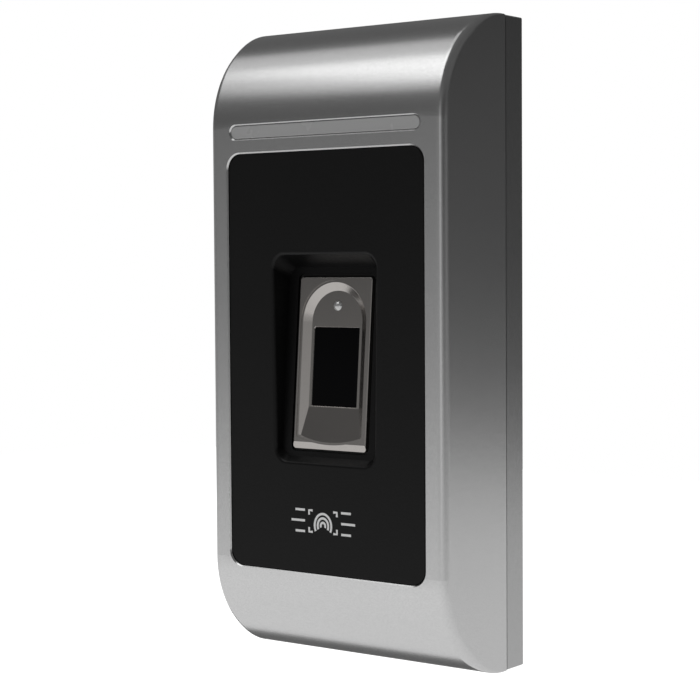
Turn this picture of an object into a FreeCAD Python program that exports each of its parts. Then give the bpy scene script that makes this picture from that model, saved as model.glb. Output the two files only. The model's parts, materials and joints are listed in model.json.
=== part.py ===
import FreeCAD, Part
import os
from math import cos, sin, tan, radians, sqrt
from FreeCAD import Vector

# Wall-mounted fingerprint scanner terminal, in millimetres.
# Origin: centre of the back face, on the wall plane. +Z up, the front faces -Y.

# ---- driving dimensions ----
bodyWidth = 82.5
bodyHeight = 185.0
bodyDepth = 40.0
frontRadius = 30.0          # round of the top and bottom of the front shell
wall = 2.4                  # wall thickness of the cast shell
sideRound = 2.4             # round between the front and the side faces
rearRound = 0.4             # what is left of that round at the seam
taperAngle = 50.0           # angle on the end rounds where the side round starts to shrink

baseDepth = 8.5             # height of the wall plate's rim off the wall
baseInset = 0.15
baseFloor = 2.0
baseRim = 2.6
seamGap = 0.5

panelHalfWidth = 34.4
panelBottom = -64.7
panelTop = 54.9
panelCorner = 4.4
panelRecess = 0.4
panelSkin = 2.3

slotHalfWidth = 33.4
slotBottom = 59.3
slotTop = 63.2

guideWidth = 26.0
guideLength = 49.25
guideThick = 4.8
guideTilt = 4.71            # lean of the finger guide's face, top further in
guideFoot = (-37.61, -29.5)  # y and z of the bottom edge of its face
channelWide = 11.5          # half width of the finger channel at the face
channelNarrow = 8.9         # half width of its floor
channelDepth = 1.5
rimWidth = 0.35             # bevel along the channel's rim
rimDrop = 0.16
archCentre = 36.4           # height of the arch's centre above the guide's foot
domeHeight = 41.05
windowHalf = 7.95
windowLow = 12.35
windowHigh = 34.85
footRise = 1.9              # the guide's lowest strip leans back over this height
footDrop = 0.38             # and by this much at its bottom edge
floorStep = 0.5             # the guide's face stands this far above the pocket floor

pivotY = -12.0
pivotZ = 90.1
beadRadius = 1.2
beadFit = 0.05              # running clearance of the hook beads

screwY = -12.5
screwSpacingX = 50.0
screwSpacingZ = 120.0

boardFront = -17.4          # main circuit board
boardBack = -15.8
coverFront = -11.5          # inner rear cover
coverBack = -9.8

plungerX = -20.0
plungerZ = -50.0

halfW = bodyWidth / 2
halfH = bodyHeight / 2
shellRear = -(baseDepth + seamGap)
arcZ = halfH - frontRadius
arcY = -(bodyDepth - frontRadius)
innerRadius = frontRadius - wall
innerFront = -(bodyDepth - wall)
innerHalfW = halfW - wall
panelFace = -(bodyDepth - panelRecess)
panelBack = panelFace + panelSkin
flangeFront = innerFront + 0.5
flangeBack = flangeFront + 1.8


# ---- shape helpers ----
def box(x0, x1, y0, y1, z0, z1):
    return Part.makeBox(x1 - x0, y1 - y0, z1 - z0, Vector(x0, y0, z0))


def rodY(x, z, radius, y0, y1):
    return Part.makeCylinder(radius, y1 - y0, Vector(x, y0, z), Vector(0, 1, 0))


def rodX(y, z, radius, x0, x1):
    return Part.makeCylinder(radius, x1 - x0, Vector(x0, y, z), Vector(1, 0, 0))


def rodZ(x, y, radius, z0, z1):
    return Part.makeCylinder(radius, z1 - z0, Vector(x, y, z0), Vector(0, 0, 1))


def ringY(x, z, outer, inner, y0, y1):
    return rodY(x, z, outer, y0, y1).cut(rodY(x, z, inner, y0, y1))


def roundedLoop(corners, radius):
    """Closed wire through the corners, each one rounded by the radius."""
    starts = []
    arcs = []
    count = len(corners)
    for i in range(count):
        here = corners[i]
        back = (corners[i - 1] - here).normalize()
        ahead = (corners[(i + 1) % count] - here).normalize()
        half = back.getAngle(ahead) / 2
        reach = radius / tan(half)
        middle = here + (back + ahead).normalize() * (radius / sin(half) - radius)
        first = here + back * reach
        last = here + ahead * reach
        starts.append((first, last))
        arcs.append(Part.Arc(first, middle, last).toShape())
    edges = []
    for i in range(count):
        edges.append(arcs[i])
        edges.append(Part.makeLine(starts[i][1], starts[(i + 1) % count][0]))
    return Part.Wire(edges)


def plateLoop(x0, x1, z0, z1, radius, y):
    corners = [Vector(x0, y, z0), Vector(x1, y, z0), Vector(x1, y, z1), Vector(x0, y, z1)]
    return roundedLoop(corners, radius)


def roundedPlate(x0, x1, z0, z1, radius, y0, y1):
    face = Part.Face(plateLoop(x0, x1, z0, z1, radius, y0))
    return face.extrude(Vector(0, y1 - y0, 0))


def frame(outer, inner, y0, y1):
    """Flat ring between two rounded rectangles, each (x0, x1, z0, z1, radius)."""
    return roundedPlate(*outer, y0, y1).cut(roundedPlate(*inner, y0, y1))


def flare(x0, x1, z0, z1, radius, y0, y1, spread):
    """Rounded rectangle that widens by the spread from y0 to y1."""
    small = plateLoop(x0, x1, z0, z1, radius, y0)
    large = plateLoop(x0 - spread, x1 + spread, z0 - spread, z1 + spread, radius + spread, y1)
    return Part.makeLoft([small, large], True, True)


def polygonX(points, x0, x1):
    """Prism along X over a closed outline of (y, z) points."""
    outline = [Vector(x0, y, z) for y, z in points]
    face = Part.Face(Part.makePolygon(outline + [outline[0]]))
    return face.extrude(Vector(x1 - x0, 0, 0))


def joined(shapes):
    whole = shapes[0]
    for shape in shapes[1:]:
        whole = whole.fuse(shape)
    return whole.removeSplitter()


def group(shapes):
    return Part.makeCompound(shapes)


def both(shape):
    """The shape and its mirror image across the middle plane."""
    return [shape, shape.mirror(Vector(0, 0, 0), Vector(1, 0, 0))]


def tilted(shape):
    """Move a shape from the guide's own frame into the terminal's frame.

    In the guide's frame the face is the plane y = 0 and its bottom edge is at z = 0.
    """
    turned = shape.copy()
    turned.rotate(Vector(0, 0, 0), Vector(1, 0, 0), -guideTilt)
    turned.translate(Vector(0, guideFoot[0], guideFoot[1]))
    return turned


def screw(x, z, headRadius, headY0, headY1, shankRadius, tipY):
    head = rodY(x, z, headRadius, headY0, headY1)
    shank = rodY(x, z, shankRadius, tipY, headY0)
    socket = rodY(x, z, headRadius * 0.42, headY1 - 0.6, headY1)
    return head.fuse(shank).cut(socket)


def softEdges(shape, radius, wanted):
    return shape.makeFillet(radius, [edge for edge in shape.Edges if wanted(edge)])


def save(name, shape):
    shape.exportStep("parts/" + name + ".step")


# ---- outer form of the shell ----
def arcPoint(radius, angle, sign=1):
    """Point of an end round, the angle counted from the front towards the end."""
    a = radians(angle)
    return Vector(0, arcY - radius * cos(a), sign * (arcZ + radius * sin(a)))


def endArc(radius, start, stop, sign=1):
    middle = (start + stop) / 2
    ends = [arcPoint(radius, start, sign), arcPoint(radius, middle, sign), arcPoint(radius, stop, sign)]
    return Part.Arc(*ends).toShape()


def sideProfile(radius, rearY):
    """Outline seen from the side: flat front, two round ends, open to the wall."""
    half = arcZ + radius
    top = Part.makeLine(Vector(0, arcY, half), Vector(0, rearY, half))
    rear = Part.makeLine(Vector(0, rearY, half), Vector(0, rearY, -half))
    bottom = Part.makeLine(Vector(0, rearY, -half), Vector(0, arcY, -half))
    lower = endArc(radius, 90, 0, -1)
    front = Part.makeLine(arcPoint(radius, 0, -1), arcPoint(radius, 0, 1))
    upper = endArc(radius, 0, 90, 1)
    return Part.Wire([top, rear, bottom, lower, front, upper])


def slab(wire, halfWidth):
    solid = Part.Face(wire).extrude(Vector(2 * halfWidth, 0, 0))
    solid.translate(Vector(-halfWidth, 0, 0))
    return solid


def middleBody():
    """Front and most of both end rounds, with the full side round."""
    hub = Vector(0, arcY, arcZ)
    low = Vector(0, arcY, -arcZ)
    edges = [
        Part.makeLine(low, hub),
        Part.makeLine(hub, arcPoint(frontRadius, taperAngle)),
        endArc(frontRadius, taperAngle, 0),
        Part.makeLine(arcPoint(frontRadius, 0), arcPoint(frontRadius, 0, -1)),
        endArc(frontRadius, 0, taperAngle, -1),
        Part.makeLine(arcPoint(frontRadius, taperAngle, -1), low),
    ]
    body = slab(Part.Wire(edges), halfW)
    return softEdges(body, sideRound, onSkin)


def onSkin(edge):
    """True for the long edges between a side face and the front or an end round."""
    bounds = edge.BoundBox
    flat = bounds.XLength < 1e-6 and abs(abs(bounds.XMin) - halfW) < 1e-6
    point = edge.valueAt((edge.FirstParameter + edge.LastParameter) / 2)
    if not flat:
        return False
    if abs(point.z) <= arcZ:
        return point.y < 1 - bodyDepth
    return abs(sqrt((point.y - arcY) ** 2 + (abs(point.z) - arcZ) ** 2) - frontRadius) < 0.01


def endBody():
    """Last stretch of the top round, where the side round shrinks towards the seam."""
    hub = Vector(0, arcY, arcZ)
    outer = arcPoint(frontRadius, 90)
    edges = [
        Part.makeLine(hub, arcPoint(frontRadius, taperAngle)),
        endArc(frontRadius, taperAngle, 90),
        Part.makeLine(outer, Vector(0, 0, halfH)),
        Part.makeLine(Vector(0, 0, halfH), Vector(0, 0, arcZ)),
        Part.makeLine(Vector(0, 0, arcZ), hub),
    ]
    body = slab(Part.Wire(edges), halfW)
    for side in (-1, 1):
        for edge in body.Edges:
            centre = edge.BoundBox.Center
            if onSkin(edge) and centre.x * side > 0:
                first = edge.valueAt(edge.FirstParameter)
                grows = first.y > edge.valueAt(edge.LastParameter).y
                radii = (rearRound, sideRound) if grows else (sideRound, rearRound)
                body = body.makeFillet(radii[0], radii[1], [edge])
                break
    return body


def outerBody():
    top = endBody()
    bottom = top.mirror(Vector(0, 0, 0), Vector(0, 0, 1))
    rear = box(-halfW, halfW, arcY, 0, -arcZ, arcZ)
    whole = middleBody().fuse(top).fuse(bottom).fuse(rear).removeSplitter()
    return whole.cut(box(-60, 60, shellRear, 10, -120, 120))


# ---- wall base ----
plateHalfW = halfW - baseInset
plateHalfH = halfH - baseInset
trayHalfW = plateHalfW - baseRim
trayHalfH = plateHalfH - baseRim
cableOpening = (-11.0, 11.0, 14.0, 40.0)
tongueFrom = 15.0
tongueTo = 29.0
tongueTop = 88.4
lugBottom = -89.0
lugTop = -84.2
insertRadius = 2.0
sealOuter = (-40.3, 40.3, -91.55, 91.55, 0.6)
sealInner = (-39.3, 39.3, -90.55, 90.55, 0.6)
padFace = -3.5


def wallPlate():
    outer = roundedPlate(-plateHalfW, plateHalfW, -plateHalfH, plateHalfH, 0.5, -baseDepth, 0)
    hollow = roundedPlate(-trayHalfW, trayHalfW, -trayHalfH, trayHalfH, 1.0, -baseDepth - 1, -baseFloor)
    tray = outer.cut(hollow)
    x0, x1, z0, z1 = cableOpening
    adds = [roundedPlate(x0 - 2.0, x1 + 2.0, z0 - 2.0, z1 + 2.0, 3.0, -baseFloor - 0.6, -baseFloor)]
    for z in (-78, -34, 52, 76):
        adds.append(box(-trayHalfW - 0.5, trayHalfW + 0.5, -baseFloor - 2.0, -baseFloor, z - 0.6, z + 0.6))
    for x in (-screwSpacingX / 2, screwSpacingX / 2):
        for z in (-screwSpacingZ / 2, screwSpacingZ / 2):
            adds.append(rodY(x, z, 5.5, -baseFloor - 1.0, -baseFloor))
    adds.append(rodY(plungerX, plungerZ, 4.0, padFace, -baseFloor))
    adds += both(tongue())
    adds.append(box(-7, 7, screwY - 3.5, -baseFloor, lugBottom, lugTop))
    adds.append(box(-7, 7, -baseDepth, -baseFloor, -trayHalfH - 0.5, lugBottom))
    tray = joined([tray] + adds)
    for x in (-screwSpacingX / 2, screwSpacingX / 2):
        for z in (-screwSpacingZ / 2, screwSpacingZ / 2):
            tray = tray.cut(rodY(x, z, 2.3, -10, 1))
    tray = tray.cut(roundedPlate(x0, x1, z0, z1, 2.0, -10, 1))
    tray = tray.cut(rodZ(0, screwY, insertRadius, lugBottom - 1, lugTop + 1))
    return tray.cut(frame(sealOuter, sealInner, -baseDepth - 1, -baseDepth + 0.7))


def tongue():
    """Hook at the top of the plate, with a round bead that the shell hangs on."""
    arm = box(tongueFrom, tongueTo, pivotY - 0.6, -baseFloor, tongueTop - 2.0, tongueTop)
    root = box(tongueFrom, tongueTo, -baseDepth, -baseFloor, tongueTop - 2.0, trayHalfH + 0.5)
    web = box(tongueFrom, tongueTo, pivotY - 0.6, pivotY + 0.6, tongueTop - 1.0, pivotZ)
    bead = rodX(pivotY, pivotZ, beadRadius, tongueFrom, tongueTo)
    return joined([arm, root, web, bead])


def cableGrommet():
    x0, x1, z0, z1 = cableOpening
    liner = roundedPlate(x0, x1, z0, z1, 2.0, -baseFloor - 0.6, 0)
    lip = roundedPlate(x0 - 1.6, x1 + 1.6, z0 - 1.6, z1 + 1.6, 3.0, -baseFloor - 1.6, -baseFloor - 0.6)
    bore = roundedPlate(x0 + 1.5, x1 - 1.5, z0 + 1.5, z1 - 1.5, 1.2, -10, 1)
    return joined([liner, lip]).cut(bore)


def makeBase():
    save("wall_plate", wallPlate())
    save("cable_grommet", cableGrommet())
    save("edge_seal", frame(sealOuter, sealInner, -baseDepth, -baseDepth + 0.7))
    insert = rodZ(0, screwY, insertRadius, lugBottom, lugTop)
    save("screw_insert", insert.cut(rodZ(0, screwY, 1.5, lugBottom - 1, lugTop + 1)))


def securityScrew():
    head = rodZ(0, screwY, 2.75, -halfH + 0.15, -91.3)
    head = softEdges(head, 0.3, lambda e: e.BoundBox.ZMax < -halfH + 0.2)
    socket = rodZ(0, screwY, 1.1, -halfH, -halfH + 0.9)
    pin = rodZ(0, screwY, 0.35, -halfH + 0.3, -halfH + 1.0)
    shank = rodZ(0, screwY, 1.45, -91.3, -84.4)
    return head.cut(socket).fuse(shank).fuse(pin)


# ---- front shell ----
coverScrews = [(x, z) for x in (-34.5, 34.5) for z in (-72.0, 2.0, 76.0)]
lightScrewX = 36.7
lightZ = (slotBottom + slotTop) / 2
panelScrews = [(x, z) for x in (-36.1, 36.1) for z in (-50.0, -5.0, 40.0)]


def shellCavity():
    return slab(sideProfile(innerRadius, 0), innerHalfW)


def coverBoss(x, z):
    """Post for a rear cover screw, tied to the side wall."""
    start = -26.0 if abs(z) < 40 else -37.0
    side = 1 if x > 0 else -1
    post = rodY(x, z, 3.2, start, coverFront)
    web = box(min(x, side * 40), max(x, side * 40), start, coverFront, z - 1.2, z + 1.2)
    return post.fuse(web)


def frontShell():
    solid = outerBody()
    cavity = shellCavity()
    bosses = [coverBoss(x, z) for x, z in coverScrews]
    for x in (-lightScrewX, lightScrewX):
        bosses.append(rodY(x, lightZ, 1.8, -39, -34.4))
    posts = joined(bosses).common(solid)
    shell = solid.cut(cavity).fuse(posts).removeSplitter()
    for x, z in coverScrews:
        shell = shell.cut(rodY(x, z, 1.2, coverFront - 8, coverFront + 1))
    for x in (-lightScrewX, lightScrewX):
        shell = shell.cut(rodY(x, lightZ, 0.9, -37.4, -34))
    for x, z in panelScrews:
        shell = shell.cut(rodY(x, z, 0.95, -39.3, -37))
    gap = 0.15
    window = (-panelHalfWidth - gap, panelHalfWidth + gap, panelBottom - gap, panelTop + gap, panelCorner)
    slot = (-slotHalfWidth, slotHalfWidth, slotBottom, slotTop, 1.9)
    for outline in (window, slot):
        shell = shell.cut(roundedPlate(*outline, -bodyDepth - 1, -35))
        shell = shell.cut(flare(*outline, -bodyDepth + 0.4, -bodyDepth - 0.4, 0.8))
    for side in (-1, 1):
        middle = side * (tongueFrom + tongueTo) / 2
        half = (tongueTo - tongueFrom) / 2 + 0.5
        shell = shell.cut(rodX(pivotY, pivotZ, beadRadius + beadFit, middle - half, middle + half))
    return shell.cut(seamBreak()).cut(screwNotch())


def seamBreak():
    """Round on the shell's top rear edge, so that it swings clear of the wall plate."""
    radius = 0.6
    corner = box(-45, 45, shellRear - radius, shellRear + 1, halfH - radius, halfH + 1)
    return corner.cut(rodX(shellRear - radius, halfH - radius, radius, -46, 46))


def screwNotch():
    """Slot for the screw's shank and seat for its head, open towards the wall."""
    shank = rodZ(0, screwY, 1.8, -95, -88).fuse(box(-1.8, 1.8, screwY, 0, -95, -88))
    seat = rodZ(0, screwY, 3.1, -95, -91.2).fuse(box(-3.1, 3.1, screwY, 0, -95, -91.2))
    return shank.fuse(seat)


# ---- front panel with its finger pocket ----
pocketTop = 26.0
pocketBottom = -33.5
pocketHalfTop = 18.4
pocketHalfBottom = 17.4
floorHalf = 17.0
floorLow = -2.2              # ends of the pocket floor in the guide's frame
floorHigh = 51.9
floorSkin = 1.8
holeGap = 0.75
bracketFace = 13.2
bracketX = 21.4
bracketZ = (6.0, 43.0)


def pocketLoop(spread, y):
    corners = [
        Vector(-pocketHalfBottom - spread, y, pocketBottom - spread),
        Vector(pocketHalfBottom + spread, y, pocketBottom - spread),
        Vector(pocketHalfTop + spread, y, pocketTop + spread),
        Vector(-pocketHalfTop - spread, y, pocketTop + spread),
    ]
    return roundedLoop(corners, 4.0 + spread)


def floorLoop(spread, depth):
    loop = plateLoop(-floorHalf - spread, floorHalf + spread, floorLow - spread, floorHigh + spread,
                     3.0 + spread, depth)
    return tilted(loop)


def frontPanel():
    face = roundedPlate(-panelHalfWidth, panelHalfWidth, panelBottom, panelTop, panelCorner,
                        panelFace, panelBack)
    face = softEdges(face, 0.35, lambda e: e.BoundBox.YMax < panelFace + 0.01)
    rim = frame((-37.6, 37.6, -66.7, 57.3, 6.0), (-32.0, 32.0, -62.0, 52.0, 3.0), flangeFront, flangeBack)
    tie = frame((-panelHalfWidth, panelHalfWidth, panelBottom, panelTop, panelCorner),
                (-32.0, 32.0, -62.0, 52.0, 3.0), panelBack, flangeFront)
    cup = Part.makeLoft([pocketLoop(floorSkin, panelBack - 0.5), floorLoop(floorSkin, floorStep + floorSkin)],
                        True, True)
    posts = []
    for z in bracketZ:
        start = panelBack - 1.0 - guideFoot[0] - z * sin(radians(guideTilt))
        for x in (-bracketX, bracketX):
            posts.append(tilted(rodY(x, z, 2.2, start, bracketFace)))
    for x, z in standoffs:
        posts.append(rodY(x, z, 3.6, panelBack - 0.5, standoffFront))
    panel = joined([face, tie, rim, cup] + posts)
    pocket = Part.makeLoft([pocketLoop(0, panelFace), floorLoop(0, floorStep)], True, True)
    panel = panel.cut(pocket)
    panel = softEdges(panel, 1.0, atPocketRim)
    hole = roundedPlate(-guideWidth / 2 - holeGap, guideWidth / 2 + holeGap, -holeGap,
                        guideLength + holeGap, 1.6, -5, 8)
    panel = panel.cut(tilted(hole))
    for x, z in panelScrews:
        panel = panel.cut(rodY(x, z, 1.1, flangeFront - 1, flangeBack + 1))
    for z in bracketZ:
        for x in (-bracketX, bracketX):
            panel = panel.cut(tilted(rodY(x, z, 0.95, bracketFace - 8, bracketFace + 1)))
    for x, z in standoffs:
        panel = panel.cut(rodY(x, z, 1.45, standoffFront - 3.2, standoffFront + 1))
    return panel


def atPocketRim(edge):
    bounds = edge.BoundBox
    inside = bounds.XMax < pocketHalfTop + 0.1 and bounds.XMin > -pocketHalfTop - 0.1
    return inside and bounds.YMax < panelFace + 0.01


def makeFront():
    shell = frontShell()
    save("front_shell", shell)
    save("front_panel", frontPanel())
    gasket = frame((-37.4, 37.4, -66.4, 57.0, 5.8), (-35.2, 35.2, -65.3, 55.6, 4.8), innerFront, flangeFront)
    for x, z in panelScrews:
        gasket = gasket.cut(rodY(x, z, 1.05, innerFront - 1, flangeFront + 1))
    save("panel_gasket", gasket.cut(shell))
    save("panel_screws", group([screw(x, z, 1.7, flangeBack, flangeBack + 1.0, 0.95, -39.2)
                                for x, z in panelScrews]))


# ---- light bar ----
def makeLight():
    lens = roundedPlate(-slotHalfWidth + 0.1, slotHalfWidth - 0.1, slotBottom + 0.1, slotTop - 0.1, 1.84,
                        -39.75, -37.4)
    lens = softEdges(lens, 0.3, lambda e: e.BoundBox.YMax < -39.7)
    foot = roundedPlate(-34.7, 34.7, 58.1, 64.3, 2.0, -37.4, -35.9)
    save("light_lens", lens.fuse(foot).removeSplitter())
    board = box(-38.2, 38.2, -34.4, -33.2, 58.2, 64.2)
    for x in (-lightScrewX, lightScrewX):
        board = board.cut(rodY(x, lightZ, 1.0, -35, -33))
    save("light_board", board)
    save("light_leds", group([box(x - 1.75, x + 1.75, -35.2, -34.4, lightZ - 1.4, lightZ + 1.4)
                              for x in range(-28, 29, 8)]))
    save("light_screws", group([screw(x, lightZ, 1.6, -33.2, -32.2, 0.9, -37.3)
                                for x in (-lightScrewX, lightScrewX)]))


# ---- finger guide and the scanner behind it, built in the guide's frame ----
def channelOutline(half, y):
    """Straight sides under a round arch, running out below the guide."""
    left = Vector(-half, y, -3)
    leftTop = Vector(-half, y, archCentre)
    right = Vector(half, y, -3)
    rightTop = Vector(half, y, archCentre)
    crown = Part.Arc(leftTop, Vector(0, y, archCentre + half), rightTop).toShape()
    return Part.Wire([Part.makeLine(left, leftTop), crown, Part.makeLine(rightTop, right),
                      Part.makeLine(right, left)])


def fingerChannel():
    """Sloped walls, a flat floor for the window, then a ramp up to a curved lip."""
    edge = channelWide - rimWidth
    rim = Part.makeLoft([channelOutline(channelWide, 0), channelOutline(edge, rimDrop)], True, True)
    wall = Part.makeLoft([channelOutline(edge, rimDrop), channelOutline(channelNarrow, channelDepth)], True, True)
    ramp = polygonX([(channelDepth + 0.5, windowLow - 0.35), (channelDepth, windowLow - 0.35), (0.3, 2.0),
                     (0.3, -4.0), (channelDepth + 0.5, -4.0)], -20, 20)
    lipRadius = 35.7
    lip = rodY(0, 2.1 + lipRadius, lipRadius, -1, 3)
    step = Part.Face(channelOutline(channelWide + 0.4, 0)).extrude(Vector(0, 0.12, 0))
    slope = rim.fuse(wall)
    return slope.cut(ramp).common(lip).fuse(step.common(rodY(0, 1.4 + lipRadius, lipRadius, -1, 3)))


def fingerGuide():
    half = guideWidth / 2
    block = roundedPlate(-half, half, 0, guideLength, 1.0, 0, guideThick)
    block = softEdges(block, 0.55, lambda e: e.BoundBox.YMax < 0.01)
    block = block.cut(polygonX([(-1, footRise), (0, footRise), (footDrop, 0), (footDrop, -1), (-1, -1)], -20, 20))
    wings = roundedPlate(-15.2, 15.2, -2.2, 51.4, 1.5, 2.8, guideThick)
    block = block.fuse(wings).removeSplitter().cut(fingerChannel())
    window = (-windowHalf, windowHalf, windowLow, windowHigh, 0.4)
    block = block.cut(roundedPlate(*window, -1, guideThick + 1))
    block = block.cut(flare(*window, channelDepth + 0.15, channelDepth - 0.05, 0.2))
    block = block.cut(roundedPlate(-10.6, 10.6, 9.7, 37.5, 0.8, 2.9, guideThick + 1))
    return block.cut(rodY(0, domeHeight, 1.5, -1, guideThick + 1))


def statusDome():
    stem = rodY(0, domeHeight, 1.45, 1.6, guideThick)
    capRadius = 1.85
    cap = Part.makeSphere(capRadius, Vector(0, 0.75 + capRadius, domeHeight))
    cap = cap.common(rodY(0, domeHeight, 1.45, 0, 1.6))
    return joined([stem, cap, rodY(0, domeHeight, 2.1, guideThick, guideThick + 0.6)])


def sensorPrism():
    nose = roundedPlate(-windowHalf + 0.1, windowHalf - 0.1, windowLow + 0.1, windowHigh - 0.1, 0.3, 2.2, 3.4)
    base = roundedPlate(-10.4, 10.4, 9.9, 37.3, 1.0, 3.3, 5.2)
    wedge = polygonX([(5.2, 11.0), (5.2, 36.3), (10.5, 33.0), (10.5, 24.0)], -9.4, 9.4)
    return joined([nose, base, wedge])


def sensorBracket():
    plate = roundedPlate(-24.4, 24.4, 8.0, 46.0, 2.0, bracketFace, bracketFace + 1.0)
    plate = plate.fuse(box(-24.4, 24.4, bracketFace, bracketFace + 1.0, 3.0, 9.0)).removeSplitter()
    plate = plate.cut(roundedPlate(-9, 9, 2.0, 9.0, 1.0, bracketFace - 1, bracketFace + 2))
    plate = plate.cut(roundedPlate(-8, 8, 16.0, 36.0, 2.0, bracketFace - 1, bracketFace + 2))
    for z in bracketZ:
        for x in (-bracketX, bracketX):
            plate = plate.cut(rodY(x, z, 1.1, bracketFace - 1, bracketFace + 2))
    return plate


def ribbonPath():
    """Centre line of the flat cable, from the scanner's board down to its socket."""
    start = tilted(Part.Vertex(0, 13.3, 5.0)).Point
    knee = tilted(Part.Vertex(0, 13.3, -3.5)).Point
    drop = Vector(0, boardFront - 1.0, -36.2)
    end = Vector(0, boardFront - 1.0, -40.4)
    points = [start, knee, drop, end]
    edges = []
    last = start
    for i in (1, 2):
        here = points[i]
        back = (points[i - 1] - here).normalize()
        ahead = (points[i + 1] - here).normalize()
        half = back.getAngle(ahead) / 2
        reach = 1.6 / tan(half)
        middle = here + (back + ahead).normalize() * (1.6 / sin(half) - 1.6)
        edges.append(Part.makeLine(last, here + back * reach))
        edges.append(Part.Arc(here + back * reach, middle, here + ahead * reach).toShape())
        last = here + ahead * reach
    edges.append(Part.makeLine(last, end))
    return Part.Wire(edges)


def sensorRibbon():
    path = ribbonPath()
    start = path.OrderedVertexes[0].Point
    section = [Vector(-5, -0.1, 0), Vector(5, -0.1, 0), Vector(5, 0.1, 0), Vector(-5, 0.1, 0)]
    profile = Part.makePolygon(section + [section[0]])
    profile.rotate(Vector(0, 0, 0), Vector(1, 0, 0), -guideTilt)
    profile.translate(start)
    return path.makePipeShell([profile], True, False)


def makeScanner():
    save("finger_guide", tilted(fingerGuide()))
    outline = (-15.2, 15.2, -2.2, 51.4, 1.5)
    gasket = frame(outline, (-13.1, 13.1, -0.1, 49.35, 1.05), floorStep + floorSkin, 2.8)
    lip = frame((-13.7, 13.7, -0.7, 49.95, 1.55), (-13.1, 13.1, -0.1, 49.35, 1.05), 1.2, floorStep + floorSkin)
    save("guide_gasket", tilted(gasket.fuse(lip).removeSplitter()))
    save("status_dome", tilted(statusDome()))
    window = (-windowHalf + 0.05, windowHalf - 0.05, windowLow + 0.05, windowHigh - 0.05, 0.35)
    save("sensor_glass", tilted(roundedPlate(*window, channelDepth + 0.1, 2.2)))
    seal = frame((-10.4, 10.4, 9.9, 37.3, 0.8), (-8.2, 8.2, 12.1, 35.1, 0.5), 2.9, 3.3)
    save("sensor_seal", tilted(seal))
    save("sensor_prism", tilted(sensorPrism()))
    housing = frame((-12.6, 12.6, 0.5, 46.5, 1.5), (-11.4, 11.4, 1.7, 45.3, 0.8), guideThick + 0.05, 11.9)
    save("sensor_housing", tilted(housing))
    camera = joined([rodY(0, 6.3, 3.0, 9.0, 11.95), rodY(0, 6.3, 2.1, 7.2, 9.0)])
    save("sensor_camera", tilted(camera))
    lamps = [box(x - 1.0, x + 1.0, 11.15, 11.95, 18.0, 19.6) for x in (-6, 0, 6)]
    save("sensor_leds", tilted(group(lamps)))
    save("status_led", tilted(box(-0.8, 0.8, 11.0, 11.95, domeHeight - 0.8, domeHeight + 0.8)))
    save("sensor_board", tilted(roundedPlate(-13.5, 13.5, -0.3, 47.2, 1.0, 11.95, 13.15)))
    save("sensor_bracket", tilted(sensorBracket()))
    fixings = [screw(x, z, 1.9, bracketFace + 1.0, bracketFace + 2.1, 0.95, bracketFace - 7.5)
               for x in (-bracketX, bracketX) for z in bracketZ]
    save("bracket_screws", tilted(group(fixings)))
    save("sensor_ribbon", sensorRibbon())


# ---- main board ----
standoffs = [(x, z) for x in (-27.0, 27.0) for z in (-52.0, 47.0)]
standoffFront = -33.3


def standoff(x, z):
    """Hexagonal brass spacer with a stud in front and a thread behind."""
    corners = [Vector(2.89 * cos(radians(a)), 0, 2.89 * sin(radians(a))) for a in range(0, 360, 60)]
    hexagon = Part.Face(Part.makePolygon(corners + [corners[0]]))
    body = hexagon.extrude(Vector(0, boardFront - standoffFront, 0))
    body.translate(Vector(x, standoffFront, z))
    stud = rodY(x, z, 1.45, standoffFront - 3.0, standoffFront)
    return body.fuse(stud).cut(rodY(x, z, 1.25, boardFront - 6, boardFront + 1))


def chip(x, z, sizeX, sizeZ, y0, y1):
    body = box(x - sizeX / 2, x + sizeX / 2, y0, y1, z - sizeZ / 2, z + sizeZ / 2)
    return body.cut(rodY(x - sizeX / 2 + 1.2, z + sizeZ / 2 - 1.2, 0.4, y1 - 0.1, y1))


def capacitor(x, z):
    can = rodY(x, z, 4.0, boardFront - 11.0, boardFront)
    can = softEdges(can, 0.5, lambda e: e.BoundBox.YMax < boardFront - 10.5)
    return can.cut(ringY(x, z, 4.5, 3.7, boardFront - 2.4, boardFront - 1.8))


def cableSocket(x):
    """Open-topped pin header with four contacts."""
    shroud = box(x - 6.5, x + 6.5, boardBack, -7.4, 24.0, 31.0)
    shroud = shroud.cut(box(x - 5.5, x + 5.5, boardBack + 1.4, -7, 25.0, 30.0))
    pins = [box(x + i * 2.5 - 0.32, x + i * 2.5 + 0.32, boardBack + 1.4, -8.6, 27.2, 27.84)
            for i in (-1.5, -0.5, 0.5, 1.5)]
    return joined([shroud] + pins)


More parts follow.
